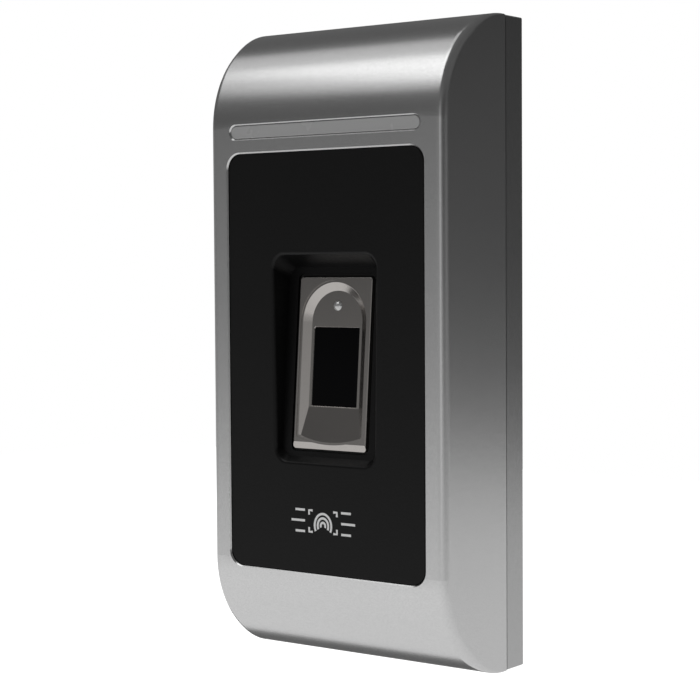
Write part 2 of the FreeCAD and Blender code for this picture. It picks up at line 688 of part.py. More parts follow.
def makeElectronics():
    board = roundedPlate(-31, 31, -58, 54, 1.5, boardFront, boardBack)
    for x, z in standoffs:
        board = board.cut(rodY(x, z, 1.6, boardFront - 1, boardBack + 1))
    save("main_board", board)
    save("board_standoffs", group([standoff(x, z) for x, z in standoffs]))
    save("board_screws", group([screw(x, z, 2.5, boardBack, boardBack + 1.8, 1.25, boardFront - 4.5)
                                for x, z in standoffs]))
    save("main_chips", group([
        chip(0, 2, 14, 14, boardBack, boardBack + 1.4),
        chip(20, 4, 8, 12, boardBack, boardBack + 1.1),
        chip(-20, 2, 6, 5, boardBack, boardBack + 1.5),
        chip(19, -22, 5, 6, boardBack, boardBack + 1.5),
        chip(0, -24, 9, 6, boardBack, boardBack + 1.6),
    ]))
    save("capacitors", group([capacitor(x, -50.0) for x in (-14.5, -5.0)]))
    relay = box(8, 23, boardFront - 15.5, boardFront, -56.5, -38.5)
    save("relay", softEdges(relay, 0.6, lambda e: e.BoundBox.YLength > 10))
    buzzer = rodY(0, 44, 6.0, boardFront - 9.0, boardFront).cut(rodY(0, 44, 1.2, boardFront - 10, boardFront - 6))
    save("buzzer", buzzer)
    save("cable_sockets", group([cableSocket(x) for x in (-8.5, 8.5)]))
    socket = box(-7, 7, boardFront - 2.4, boardFront, -43.0, -38.6)
    save("sensor_socket", socket.cut(box(-5.1, 5.1, boardFront - 1.25, boardFront - 0.75, -41.0, -38)))


# ---- tamper switch ----
def makeTamper():
    switchTop = -12.2
    collarFront = -8.4
    body = box(plungerX - 4, plungerX + 4, boardBack, switchTop, plungerZ - 4, plungerZ + 4)
    save("tamper_switch", body.cut(rodY(plungerX, plungerZ, 1.55, boardBack + 0.6, switchTop + 1)))
    stem = rodY(plungerX, plungerZ, 1.5, boardBack + 0.8, padFace - 0.2)
    stem = softEdges(stem, 0.5, lambda e: e.BoundBox.YMin > padFace - 0.3)
    save("tamper_plunger", stem.fuse(rodY(plungerX, plungerZ, 2.6, collarFront, collarFront + 0.8)))
    wire = 0.2
    gap = 0.04
    radius = 2.05
    rise = collarFront - switchTop - 2 * (wire + gap)
    section = [Vector(radius + i * wire, 0, j * wire) for i, j in ((-1, -1), (1, -1), (1, 1), (-1, 1))]
    coil = Part.Wire(Part.makeHelix(rise / 4, rise, radius))
    spring = coil.makePipeShell([Part.makePolygon(section + [section[0]])], True, True)
    spring.rotate(Vector(0, 0, 0), Vector(1, 0, 0), -90)
    spring.translate(Vector(plungerX, switchTop + wire + gap, plungerZ))
    save("tamper_spring", spring)


# ---- inner rear cover ----
def makeCover():
    plate = roundedPlate(-38.0, 38.0, -81.5, 83.5, 3.0, coverFront, coverBack)
    for x, z in coverScrews:
        plate = plate.cut(rodY(x, z, 1.7, coverFront - 1, coverBack + 1))
    plate = plate.cut(roundedPlate(-16.5, 16.5, 22.5, 32.5, 1.0, coverFront - 1, coverBack + 1))
    plate = plate.cut(rodY(plungerX, plungerZ, 3.2, coverFront - 1, coverBack + 1))
    for i in range(5):
        slotZ = -12 - i * 3.0
        plate = plate.cut(roundedPlate(-12, 12, slotZ - 0.6, slotZ + 0.6, 0.55, coverFront - 1, coverBack + 1))
    save("back_cover", plate)
    save("cover_screws", group([screw(x, z, 2.4, coverBack, coverBack + 0.9, 1.2, coverFront - 7)
                                for x, z in coverScrews]))


os.makedirs("parts", exist_ok=True)
makeBase()
save("security_screw", securityScrew())
makeFront()
makeLight()
makeScanner()
makeElectronics()
makeTamper()
makeCover()
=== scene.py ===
import json
import math

import bmesh
import bpy
from mathutils import Matrix, Vector


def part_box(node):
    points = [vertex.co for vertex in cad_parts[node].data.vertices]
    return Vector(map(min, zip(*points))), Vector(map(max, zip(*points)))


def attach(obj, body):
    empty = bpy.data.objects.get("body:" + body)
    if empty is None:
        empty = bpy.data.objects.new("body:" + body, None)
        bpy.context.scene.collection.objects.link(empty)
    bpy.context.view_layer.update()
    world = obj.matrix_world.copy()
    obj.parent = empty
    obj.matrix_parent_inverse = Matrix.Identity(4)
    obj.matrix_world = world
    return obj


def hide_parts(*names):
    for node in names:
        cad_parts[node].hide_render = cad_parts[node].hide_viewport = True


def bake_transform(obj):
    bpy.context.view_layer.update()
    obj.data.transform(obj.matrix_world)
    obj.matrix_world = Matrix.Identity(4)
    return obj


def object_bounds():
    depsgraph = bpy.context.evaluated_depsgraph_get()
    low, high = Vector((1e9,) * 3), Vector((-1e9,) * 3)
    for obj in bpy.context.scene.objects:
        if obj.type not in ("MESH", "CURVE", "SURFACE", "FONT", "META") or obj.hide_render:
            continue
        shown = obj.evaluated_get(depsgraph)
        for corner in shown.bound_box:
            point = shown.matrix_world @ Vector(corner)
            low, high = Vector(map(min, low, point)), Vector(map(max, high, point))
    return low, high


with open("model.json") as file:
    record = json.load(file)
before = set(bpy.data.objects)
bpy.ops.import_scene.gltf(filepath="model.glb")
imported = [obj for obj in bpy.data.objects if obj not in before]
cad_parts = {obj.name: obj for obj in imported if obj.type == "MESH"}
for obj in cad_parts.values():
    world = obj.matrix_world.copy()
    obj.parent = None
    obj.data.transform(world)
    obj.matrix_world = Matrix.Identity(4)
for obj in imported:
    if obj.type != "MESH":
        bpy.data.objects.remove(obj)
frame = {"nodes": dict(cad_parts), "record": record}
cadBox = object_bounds()
print("frame loaded:", len(frame["nodes"]), "nodes")


# camera: where it stands round the terminal, in degrees and metres
cameraValues = {
    "azimuth": 36.893,
    "elevation": 2.727,
    "roll": -0.364,
    "distance": 0.551731,
    "aside": -0.016282,
    "up": -0.002701,
    "lens": 95.10,
}


def makeCamera(values):
    az = math.radians(values["azimuth"])
    el = math.radians(values["elevation"])
    back = Vector((math.sin(az) * math.cos(el), -math.cos(az) * math.cos(el), math.sin(el)))
    right = Vector((0, 0, 1)).cross(back).normalized()
    turn = Matrix.Rotation(math.radians(values["roll"]), 3, back)
    right = turn @ right
    up = back.cross(right)
    data = bpy.data.cameras.new("viewCamera")
    data.lens = values["lens"]
    data.clip_start = 0.01
    data.clip_end = 50
    camera = bpy.data.objects.new("viewCamera", data)
    bpy.context.collection.objects.link(camera)
    place = back * values["distance"] + right * values["aside"] + up * values["up"]
    turned = Matrix((right, up, back)).transposed().to_4x4()
    camera.matrix_world = Matrix.Translation(place) @ turned
    bpy.context.scene.camera = camera
    return camera


makeCamera(cameraValues)
print("camera placed")


# node helpers, used by the world, the shaders and the geometry trees
def addNode(tree, kind, values=None, **settings):
    made = tree.nodes.new(kind)
    for key, value in settings.items():
        setattr(made, key, value)
    for key, value in (values or {}).items():
        made.inputs[key].default_value = value
    return made


def mathNode(tree, operation, *values):
    # each value is a number or another node's output
    made = tree.nodes.new("ShaderNodeMath")
    made.operation = operation
    for index, value in enumerate(values):
        if isinstance(value, (int, float)):
            made.inputs[index].default_value = value
        else:
            tree.links.new(value, made.inputs[index])
    return made.outputs[0]


def rampNode(tree, source, stops):
    made = tree.nodes.new("ShaderNodeValToRGB")
    points = made.color_ramp.elements
    while len(points) < len(stops):
        points.new(0.5)
    for point, (at, tone) in zip(points, stops):
        point.position = at
        point.color = (tone, tone, tone, 1)
    tree.links.new(source, made.inputs[0])
    return made.outputs[0]


# studio: pale floor, two soft lights overhead on the left, a weak card on the right, a grey sheet of painted
# shade behind
studioValues = {
    "floorDrop": 0.30,
    "floorSize": 5.4,
    "floorTone": 0.80,
    "floorGlow": 0.64,  # its own light, as reflections see it
    "floorSeen": 0.60,  # added where the camera sees it
    "innerPower": 1.45,
    "innerSize": (0.72, 0.70),
    "innerPlace": (-0.40, -0.60, 0.90),
    "outerPower": 2.65,
    "outerSize": (1.00, 1.40),
    "outerPlace": (-0.55, -0.60, 0.92),
    "cardPower": 0.12,
    "cardSize": (0.40, 0.50),
    "cardPlace": (0.36, -1.00, 0.06),
    # a grey sheet of painted shade, seen only in reflections, darkens the floor behind the terminal
    "shadeSheetSize": 0.46,
    "shadeSheetPlace": (-0.36, 0.36, 0.012),  # the last is its lift off the floor
    "shadeSheetTone": 0.45,
    # brightness round the room, by the sine of the height angle and by the compass angle
    "heights": [(-1.0, 0.8), (-0.15, 0.50), (-0.06, 0.29), (0.0, 0.26), (0.07, 0.24),
                (0.13, 0.10), (0.22, 0.12), (0.37, 0.15), (0.7, 0.12), (1.0, 0.15)],
    "compass": [(-180, 0.45), (-90, 1.30), (-60, 0.80), (-45, 0.80), (-32, 1.10), (0, 1.15), (22, 1.35),
                (36, 1.05), (50, 0.40), (66, 0.26), (88, 0.6), (105, 0.72), (125, 0.4), (143, 0.25),
                (180, 0.4)],
}


def areaLight(name, place, size, power, target=(0, 0, 0)):
    data = bpy.data.lights.new(name, "AREA")
    data.shape = "RECTANGLE"
    data.size, data.size_y = size
    data.energy = power
    lamp = bpy.data.objects.new(name, data)
    bpy.context.collection.objects.link(lamp)
    lamp.location = place
    back = (Vector(place) - Vector(target)).normalized()
    right = Vector((1, 0, 0)) if abs(back.z) > 0.9 else Vector((0, 0, 1)).cross(back).normalized()
    up = back.cross(right).normalized()
    lamp.matrix_world = Matrix.Translation(place) @ Matrix((right, up, back)).transposed().to_4x4()
    return lamp


def makeWorld(values):
    world = bpy.data.worlds.new("studio")
    bpy.context.scene.world = world
    world.use_nodes = True
    tree = world.node_tree
    tree.nodes.clear()
    out = addNode(tree, "ShaderNodeOutputWorld")
    mix = addNode(tree, "ShaderNodeMixShader")
    path = addNode(tree, "ShaderNodeLightPath")
    seen = addNode(tree, "ShaderNodeBackground", {"Color": (1, 1, 1, 1), "Strength": 1.0})
    around = addNode(tree, "ShaderNodeBackground", {"Color": (1, 1, 1, 1)})
    coord = addNode(tree, "ShaderNodeTexCoord")
    split = addNode(tree, "ShaderNodeSeparateXYZ")
    tree.links.new(coord.outputs["Generated"], split.inputs[0])
    height = mathNode(tree, "MULTIPLY_ADD", split.outputs["Z"], 0.5, 0.5)
    backward = mathNode(tree, "MULTIPLY", split.outputs["Y"], -1.0)
    angle = mathNode(tree, "ARCTAN2", split.outputs["X"], backward)
    compass = mathNode(tree, "MULTIPLY_ADD", angle, 0.5 / math.pi, 0.5)
    tall = rampNode(tree, height, [((z + 1) / 2, tone) for z, tone in values["heights"]])
    # a ramp stops at 1, so the compass tones are halved in it and doubled after it
    compassTone = rampNode(tree, compass, [((a + 180) / 360, tone / 2) for a, tone in values["compass"]])
    turned = mathNode(tree, "MULTIPLY", compassTone, 2.0)
    # the compass shading fades out away from the horizon
    level = mathNode(tree, "ABSOLUTE", split.outputs["Z"])
    fade = addNode(tree, "ShaderNodeMapRange",
                   {"From Min": 0.02, "From Max": 0.6, "To Min": 1.0, "To Max": 0.0})
    tree.links.new(level, fade.inputs["Value"])
    blend = addNode(tree, "ShaderNodeMix", {"A": 1.0}, data_type="FLOAT")
    tree.links.new(fade.outputs[0], blend.inputs["Factor"])
    tree.links.new(turned, blend.inputs["B"])
    strength = mathNode(tree, "MULTIPLY", tall, blend.outputs[0])
    tree.links.new(strength, around.inputs["Strength"])
    tree.links.new(path.outputs["Is Camera Ray"], mix.inputs[0])
    tree.links.new(around.outputs[0], mix.inputs[1])
    tree.links.new(seen.outputs[0], mix.inputs[2])
    tree.links.new(mix.outputs[0], out.inputs[0])


def levelSheet(name, centre, size, tone, rough):
    # a level square of one plain tone, for the studio
    x, y, z = centre
    half = size / 2
    mesh = bpy.data.meshes.new(name)
    corners = [(x - half, y - half, z), (x + half, y - half, z), (x + half, y + half, z),
               (x - half, y + half, z)]
    mesh.from_pydata(corners, [], [(0, 1, 2, 3)])
    sheet = bpy.data.objects.new(name, mesh)
    bpy.context.collection.objects.link(sheet)
    paint = bpy.data.materials.new(name + "Paint")
    paint.use_nodes = True
    shader = paint.node_tree.nodes["Principled BSDF"]
    shader.inputs["Base Color"].default_value = (tone, tone, tone, 1)
    shader.inputs["Roughness"].default_value = rough
    mesh.materials.append(paint)
    return sheet


def makeFloor(values):
    centre = (0, 0, cadBox[0].z - values["floorDrop"])
    floor = levelSheet("floor", centre, values["floorSize"], values["floorTone"], 0.8)
    tree = floor.data.materials[0].node_tree
    shader = tree.nodes["Principled BSDF"]
    shader.inputs["Emission Color"].default_value = (1, 1, 1, 1)
    rays = addNode(tree, "ShaderNodeLightPath")
    glow = mathNode(tree, "MULTIPLY_ADD", rays.outputs["Is Camera Ray"], values["floorSeen"],
                    values["floorGlow"])
    tree.links.new(glow, shader.inputs["Emission Strength"])


def makeReflectedShade(values):
    # grey sheet of painted shade just above the floor, behind the terminal, seen only in reflections, where
    # it darkens the reflected floor
    x, y, lift = values["shadeSheetPlace"]
    centre = (x, y, cadBox[0].z - values["floorDrop"] + lift)
    flag = levelSheet("flag", centre, values["shadeSheetSize"], values["shadeSheetTone"], 0.9)
    flag.visible_camera = False
    flag.visible_diffuse = False
    flag.visible_shadow = False


def makeLights(values):
    for part in ("inner", "outer"):
        place = values[part + "Place"]
        below = (place[0], place[1], 0)
        areaLight(part + "Softbox", place, values[part + "Size"], values[part + "Power"], below)
    areaLight("rightCard", values["cardPlace"], values["cardSize"], values["cardPower"])


def makeStudio(values):
    bpy.context.scene.view_settings.view_transform = "Standard"
    makeWorld(values)
    makeLights(values)
    makeFloor(values)
    makeReflectedShade(values)


makeStudio(studioValues)
print("studio lit")


# shared shader groups: each puts out masks, values or heights that vary over a surface
def startGroup(name, inputs, outputs):
    group = bpy.data.node_groups.new(name, "ShaderNodeTree")
    for label, value in inputs:
        made = group.interface.new_socket(label, in_out="INPUT", socket_type="NodeSocketFloat")
        made.default_value = value
    for label in outputs:
        group.interface.new_socket(label, in_out="OUTPUT", socket_type="NodeSocketFloat")
    return group, addNode(group, "NodeGroupInput").outputs, addNode(group, "NodeGroupOutput").inputs


def scaleFor(tree, size):
    return mathNode(tree, "DIVIDE", 1.0, size)


def objectPlace(tree):
    return addNode(tree, "ShaderNodeTexCoord").outputs["Object"]


def spread(tree, source, low, high):
    made = addNode(tree, "ShaderNodeMapRange")
    tree.links.new(source, made.inputs["Value"])
    for label, value in (("To Min", low), ("To Max", high)):
        if isinstance(value, (int, float)):
            made.inputs[label].default_value = value
        else:
            tree.links.new(value, made.inputs[label])
    return made.outputs[0]


def noiseOf(tree, place, size, detail=2.0, rough=0.5):
    made = addNode(tree, "ShaderNodeTexNoise", {"Detail": detail, "Roughness": rough})
    tree.links.new(place, made.inputs["Vector"])
    if isinstance(size, (int, float)):
        made.inputs["Scale"].default_value = 1 / size
    else:
        tree.links.new(scaleFor(tree, size), made.inputs["Scale"])
    return made.outputs["Fac"]


def makePaintFlake():
    # aluminium flakes under a clear coat, with a faint orange peel
    group, given, out = startGroup(
        "paintFlake",
        [("Flake Size", 0.0002), ("Flake Contrast", 0.1), ("Peel Size", 0.002), ("Peel Height", 1.0)],
        ["Tone", "Height"])
    place = objectPlace(group)
    cells = addNode(group, "ShaderNodeTexVoronoi")
    group.links.new(place, cells.inputs["Vector"])
    group.links.new(scaleFor(group, given["Flake Size"]), cells.inputs["Scale"])
    pick = addNode(group, "ShaderNodeSeparateColor")
    group.links.new(cells.outputs["Color"], pick.inputs[0])
    low = mathNode(group, "SUBTRACT", 1.0, given["Flake Contrast"])
    high = mathNode(group, "ADD", 1.0, given["Flake Contrast"])
    tone = spread(group, pick.outputs[0], low, high)
    cloud = spread(group, noiseOf(group, place, 0.018), 0.985, 1.015)
    group.links.new(mathNode(group, "MULTIPLY", tone, cloud), out["Tone"])
    peel = noiseOf(group, place, given["Peel Size"], 1.0)
    flakes = mathNode(group, "MULTIPLY", pick.outputs[1], 0.05)
    height = mathNode(group, "ADD", mathNode(group, "MULTIPLY", peel, given["Peel Height"]), flakes)
    group.links.new(height, out["Height"])
    return group


def makeMouldGrain():
    # spark-eroded mould texture: rounded pits of two sizes
    group, given, out = startGroup("mouldGrain", [("Grain Size", 0.0006), ("Fine Size", 0.0002)],
                                   ["Height", "Mask"])
    place = objectPlace(group)
    pits = addNode(group, "ShaderNodeTexVoronoi", {"Smoothness": 0.6}, feature="SMOOTH_F1")
    group.links.new(place, pits.inputs["Vector"])
    group.links.new(scaleFor(group, given["Grain Size"]), pits.inputs["Scale"])
    fine = noiseOf(group, place, given["Fine Size"], 2.0, 0.6)
    height = mathNode(group, "ADD", mathNode(group, "MULTIPLY", pits.outputs["Distance"], 0.7),
                      mathNode(group, "MULTIPLY", fine, 0.6))
    group.links.new(height, out["Height"])
    speck = addNode(group, "ShaderNodeMapRange", {"From Min": 0.62, "From Max": 0.78})
    group.links.new(fine, speck.inputs["Value"])
    group.links.new(speck.outputs[0], out["Mask"])
    return group


def makeHandling():
    # faint smears left by fingers and cloths, as a change of roughness
    group, given, out = startGroup("handling", [("Size", 0.02), ("Low", 0.2), ("High", 0.3)], ["Roughness"])
    place = objectPlace(group)
    cloud = noiseOf(group, place, given["Size"], 4.0, 0.6)
    group.links.new(spread(group, cloud, given["Low"], given["High"]), out["Roughness"])
    return group


def makeMetalGrain():
    # drawn or blasted metal: streaks along one axis and fine pits
    group, given, out = startGroup(
        "metalGrain", [("Size", 0.0004), ("Stretch", 1.0), ("Contrast", 0.1)], ["Tone", "Height"])
    place = objectPlace(group)
    squeeze = addNode(group, "ShaderNodeCombineXYZ", {"Y": 1.0, "Z": 1.0})
    group.links.new(mathNode(group, "DIVIDE", 1.0, given["Stretch"]), squeeze.inputs["X"])
    along = addNode(group, "ShaderNodeVectorMath", operation="MULTIPLY")
    group.links.new(place, along.inputs[0])
    group.links.new(squeeze.outputs[0], along.inputs[1])
    grain = noiseOf(group, along.outputs[0], given["Size"], 3.0, 0.6)
    low = mathNode(group, "SUBTRACT", 1.0, given["Contrast"])
    high = mathNode(group, "ADD", 1.0, given["Contrast"])
    group.links.new(spread(group, grain, low, high), out["Tone"])
    group.links.new(grain, out["Height"])
    return group


def makeBoardPattern():
    # copper tracks under solder mask, over the weave of the glass cloth
    group, given, out = startGroup("boardPattern", [("Track Pitch", 0.003), ("Thread Size", 0.0006)],
                                   ["Tracks", "Weave"])
    place = objectPlace(group)
    cells = addNode(group, "ShaderNodeTexVoronoi", {"Randomness": 0.75}, feature="DISTANCE_TO_EDGE")
    group.links.new(place, cells.inputs["Vector"])
    group.links.new(scaleFor(group, given["Track Pitch"]), cells.inputs["Scale"])
    line = addNode(group, "ShaderNodeMapRange",
                   {"From Min": 0.06, "From Max": 0.09, "To Min": 1.0, "To Max": 0.0})
    group.links.new(cells.outputs["Distance"], line.inputs["Value"])
    group.links.new(line.outputs[0], out["Tracks"])
    split = addNode(group, "ShaderNodeSeparateXYZ")
    group.links.new(place, split.inputs[0])
    pace = mathNode(group, "DIVIDE", 2 * math.pi, given["Thread Size"])
    across = mathNode(group, "SINE", mathNode(group, "MULTIPLY", split.outputs["X"], pace))
    upward = mathNode(group, "SINE", mathNode(group, "MULTIPLY", split.outputs["Z"], pace))
    group.links.new(mathNode(group, "MULTIPLY", across, upward), out["Weave"])
    return group


paintFlake = makePaintFlake()
mouldGrain = makeMouldGrain()
handling = makeHandling()
metalGrain = makeMetalGrain()
boardPattern = makeBoardPattern()
print("shader groups ready")


# finishes, one dictionary of values for each slot
def startMaterial(name, values):
    material = bpy.data.materials.new(name)
    material.use_nodes = True
    tree = material.node_tree
    shader = tree.nodes["Principled BSDF"]
    shader.inputs["Base Color"].default_value = (*values["colour"], 1)
    shader.inputs["Metallic"].default_value = values.get("metallic", 0.0)
    shader.inputs["Roughness"].default_value = values["rough"]
    shader.inputs["Specular IOR Level"].default_value = values.get("specular", 0.5)
    shader.inputs["Coat Roughness"].default_value = values.get("coatRough", 0.1)
    shader.inputs["Coat Weight"].default_value = values.get("coat", 0.0)
    shader.inputs["Transmission Weight"].default_value = values.get("clear", 0.0)
    return material, tree, shader


def useGroup(tree, group, values):
    made = addNode(tree, "ShaderNodeGroup", node_tree=group)
    for label, value in values.items():
        made.inputs[label].default_value = value
    return made.outputs


def toneColour(tree, shader, colour, tone):
    scaled = addNode(tree, "ShaderNodeVectorMath", {0: colour}, operation="SCALE")
    tree.links.new(tone, scaled.inputs["Scale"])
    tree.links.new(scaled.outputs[0], shader.inputs["Base Color"])


def blendColour(tree, shader, first, second, mask):
    # sockets 6 and 7 and output 2 are the colour ones
    mix = addNode(tree, "ShaderNodeMix", data_type="RGBA")
    mix.inputs[6].default_value = (*first, 1)
    mix.inputs[7].default_value = (*second, 1)
    tree.links.new(mask, mix.inputs[0])
    tree.links.new(mix.outputs[2], shader.inputs["Base Color"])


def addBump(tree, shader, height, depth):
    bump = addNode(tree, "ShaderNodeBump", {"Strength": 1.0, "Distance": depth})
    tree.links.new(height, bump.inputs["Height"])
    tree.links.new(bump.outputs[0], shader.inputs["Normal"])


def addSmears(tree, shader, values):
    rough = values["rough"]
    smear = values.get("smear", 0.03)
    used = useGroup(tree, handling, {"Size": values.get("smearSize", 0.02), "Low": rough - smear,
                                     "High": rough + smear})
    tree.links.new(used["Roughness"], shader.inputs["Roughness"])


def paintFinish(name, values):
    material, tree, shader = startMaterial(name, values)
    flake = useGroup(tree, paintFlake, {"Flake Size": values["flake"], "Flake Contrast": values["contrast"],
                                        "Peel Size": values["peel"], "Peel Height": 1.0})
    toneColour(tree, shader, values["colour"], flake["Tone"])
    addBump(tree, shader, flake["Height"], values["depth"])
    addSmears(tree, shader, values)
    return material


def mouldedFinish(name, values):
    material, tree, shader = startMaterial(name, values)
    grain = useGroup(tree, mouldGrain, {"Grain Size": values["grain"], "Fine Size": values["grain"] / 3})
    colour = values["colour"]
    raised = tuple(min(1.0, part * values.get("lift", 1.3)) for part in colour)
    blendColour(tree, shader, colour, raised, grain["Mask"])
    addBump(tree, shader, grain["Height"], values["depth"])
    addSmears(tree, shader, values)
    return material


def metalFinish(name, values):
    material, tree, shader = startMaterial(name, dict(values, metallic=1.0))
    grain = useGroup(tree, metalGrain, {"Size": values["grain"], "Stretch": values.get("stretch", 1.0),
                                        "Contrast": values["contrast"]})
    toneColour(tree, shader, values["colour"], grain["Tone"])
    addBump(tree, shader, grain["Height"], values["depth"])
    addSmears(tree, shader, values)
    return material


def glassFinish(name, values):
    material, tree, shader = startMaterial(name, values)
    addSmears(tree, shader, values)
    return material


def boardFinish(name, values):
    material, tree, shader = startMaterial(name, values)
    pattern = useGroup(tree, boardPattern, {"Track Pitch": values["pitch"], "Thread Size": values["thread"]})
    blendColour(tree, shader, values["colour"], values["track"], pattern["Tracks"])
    height = mathNode(tree, "ADD", pattern["Tracks"], mathNode(tree, "MULTIPLY", pattern["Weave"], 0.15))
    addBump(tree, shader, height, values["depth"])
    addSmears(tree, shader, values)
    return material


finishes = {
    "silver_paint": (paintFinish, {"colour": (0.60, 0.60, 0.60), "metallic": 1.0, "rough": 0.23,
                                   "smear": 0.012, "smearSize": 0.03, "flake": 0.00022, "contrast": 0.06,
                                   "peel": 0.0022, "depth": 0.000004}),
    "base_paint": (paintFinish, {"colour": (0.46, 0.46, 0.46), "metallic": 1.0, "rough": 0.24,
                                 "smear": 0.015, "flake": 0.00022, "contrast": 0.07, "peel": 0.0018,
                                 "depth": 0.000005}),
    "black_panel": (mouldedFinish, {"colour": (0.0018, 0.0018, 0.0019), "rough": 0.40, "specular": 0.22,
                                    "smear": 0.03, "grain": 0.0007, "depth": 0.00002, "lift": 2.2}),
    "black_rubber": (mouldedFinish, {"colour": (0.012, 0.012, 0.012), "rough": 0.62, "specular": 0.3,
                                     "grain": 0.0005, "depth": 0.00002}),
    "nickel_plate": (metalFinish, {"colour": (0.46, 0.438, 0.42), "rough": 0.18, "smear": 0.03,
                                   "smearSize": 0.008, "grain": 0.00025, "contrast": 0.10,
                                   "depth": 0.000006}),
    "window_glass": (glassFinish, {"colour": (0.0004, 0.0004, 0.0008), "rough": 0.06, "specular": 0.12,
                                   "smear": 0.04, "smearSize": 0.006}),
    "prism_glass": (glassFinish, {"colour": (0.92, 0.95, 0.96), "rough": 0.03, "smear": 0.015, "clear": 1.0}),
    "dome_lens": (glassFinish, {"colour": (0.60, 0.60, 0.60), "metallic": 0.6, "rough": 0.12, "smear": 0.03,
                                "smearSize": 0.001}),
    "lens_plastic": (mouldedFinish, {"colour": (0.40, 0.40, 0.40), "rough": 0.27, "grain": 0.0005,
                                     "depth": 0.000006, "lift": 1.06}),
    "led_plastic": (mouldedFinish, {"colour": (0.78, 0.74, 0.52), "rough": 0.3, "grain": 0.0004,
                                    "depth": 0.000006, "lift": 1.1}),
    "board_green": (boardFinish, {"colour": (0.010, 0.085, 0.030), "track": (0.022, 0.16, 0.055),
                                  "rough": 0.3, "pitch": 0.0045, "thread": 0.0008, "depth": 0.00003,
                                  "coat": 0.4}),
    "black_moulding": (mouldedFinish, {"colour": (0.014, 0.014, 0.015), "rough": 0.45, "grain": 0.0006,
                                       "depth": 0.00002}),
    "steel_sheet": (metalFinish, {"colour": (0.46, 0.46, 0.47), "rough": 0.34, "grain": 0.00035,
                                  "stretch": 12.0, "contrast": 0.12, "depth": 0.00001}),
    "zinc_screw": (metalFinish, {"colour": (0.52, 0.53, 0.55), "rough": 0.3, "grain": 0.0003,
                                 "contrast": 0.14, "depth": 0.00001}),
    "screw_steel": (metalFinish, {"colour": (0.34, 0.34, 0.35), "rough": 0.26, "grain": 0.0003,
                                  "contrast": 0.12, "depth": 0.000008}),
    "spring_steel": (metalFinish, {"colour": (0.50, 0.50, 0.51), "rough": 0.22, "grain": 0.00015,
                                   "contrast": 0.1, "depth": 0.000004}),
    "brass_insert": (metalFinish, {"colour": (0.62, 0.45, 0.19), "rough": 0.28, "grain": 0.0003,
                                   "stretch": 4.0, "contrast": 0.12, "depth": 0.00001}),
    "ribbon_film": (mouldedFinish, {"colour": (0.36, 0.13, 0.025), "rough": 0.25, "grain": 0.0006,
                                    "depth": 0.00001, "coat": 0.3}),
    "chip_black": (mouldedFinish, {"colour": (0.016, 0.016, 0.017), "rough": 0.55, "grain": 0.0003,
                                   "depth": 0.00001}),
    "capacitor_sleeve": (mouldedFinish, {"colour": (0.015, 0.025, 0.07), "rough": 0.3, "grain": 0.0006,
                                         "depth": 0.000006}),
    "relay_case": (mouldedFinish, {"colour": (0.02, 0.09, 0.28), "rough": 0.35, "grain": 0.0006,
                                   "depth": 0.00001}),
    "socket_white": (mouldedFinish, {"colour": (0.72, 0.70, 0.64), "rough": 0.4, "grain": 0.0006,
                                     "depth": 0.00001, "lift": 1.05}),
    "plunger_white": (mouldedFinish, {"colour": (0.70, 0.70, 0.68), "rough": 0.38, "grain": 0.0005,
                                      "depth": 0.000008, "lift": 1.05}),
    "mark_ink": (mouldedFinish, {"colour": (0.82, 0.82, 0.82), "rough": 0.5, "grain": 0.0003,
                                 "depth": 0.000004, "lift": 1.1}),
}
materials = {slot: make(slot, values) for slot, (make, values) in finishes.items()}

nodeSlots = {part["node"]: part["material_slot"] for part in frame["record"]["subparts"]}
for name, node in frame["nodes"].items():
    node.data.materials.clear()
    node.data.materials.append(materials[nodeSlots[name]])
print("finishes on", len(nodeSlots), "nodes")


# helpers for geometry trees and for the meshes that feed them
def startTree(name, inputs):
    tree = bpy.data.node_groups.new(name, "GeometryNodeTree")
    tree.interface.new_socket("Geometry", in_out="INPUT", socket_type="NodeSocketGeometry")
    for label, kind in inputs:
        tree.interface.new_socket(label, in_out="INPUT", socket_type="NodeSocket" + kind)
    tree.interface.new_socket("Material", in_out="INPUT", socket_type="NodeSocketMaterial")
    tree.interface.new_socket("Geometry", in_out="OUTPUT", socket_type="NodeSocketGeometry")
    return tree, addNode(tree, "NodeGroupInput").outputs, addNode(tree, "NodeGroupOutput").inputs


def endTree(tree, geometry, given, out):
    real = addNode(tree, "GeometryNodeRealizeInstances")
    paint = addNode(tree, "GeometryNodeSetMaterial")
    tree.links.new(geometry, real.inputs[0])
    tree.links.new(real.outputs[0], paint.inputs["Geometry"])
    tree.links.new(given["Material"], paint.inputs["Material"])
    tree.links.new(paint.outputs[0], out["Geometry"])
    return tree


def linkNew(name, mesh):
    made = bpy.data.objects.new(name, mesh)
    bpy.context.collection.objects.link(made)
    return made


def applied(source, name):
    # the evaluated result as a plain mesh of its own
    graph = bpy.context.evaluated_depsgraph_get()
    mesh = bpy.data.meshes.new_from_object(source.evaluated_get(graph), depsgraph=graph)
    mesh.name = name
    bpy.data.objects.remove(source)
    return mesh


def growPiece(name, tree, mesh, settings, softAngle=35):
    source = linkNew(name + "Source", mesh)
    modifier = source.modifiers.new("grow", "NODES")
    modifier.node_group = tree
    for item in tree.interface.items_tree:
        if item.item_type == "SOCKET" and item.in_out == "INPUT" and item.name in settings:
            modifier[item.identifier] = settings[item.name]
    grown = applied(source, name)
    grown.shade_smooth()
    grown.set_sharp_from_angle(angle=math.radians(softAngle))
    return linkNew(name, grown)


def pointMesh(name, points, edges=(), turns=None):
    mesh = bpy.data.meshes.new(name)
    mesh.from_pydata([tuple(point) for point in points], list(edges), [])
    if turns is not None:
        mesh.attributes.new("turn", "FLOAT", "POINT").data.foreach_set("value", turns)
    return mesh


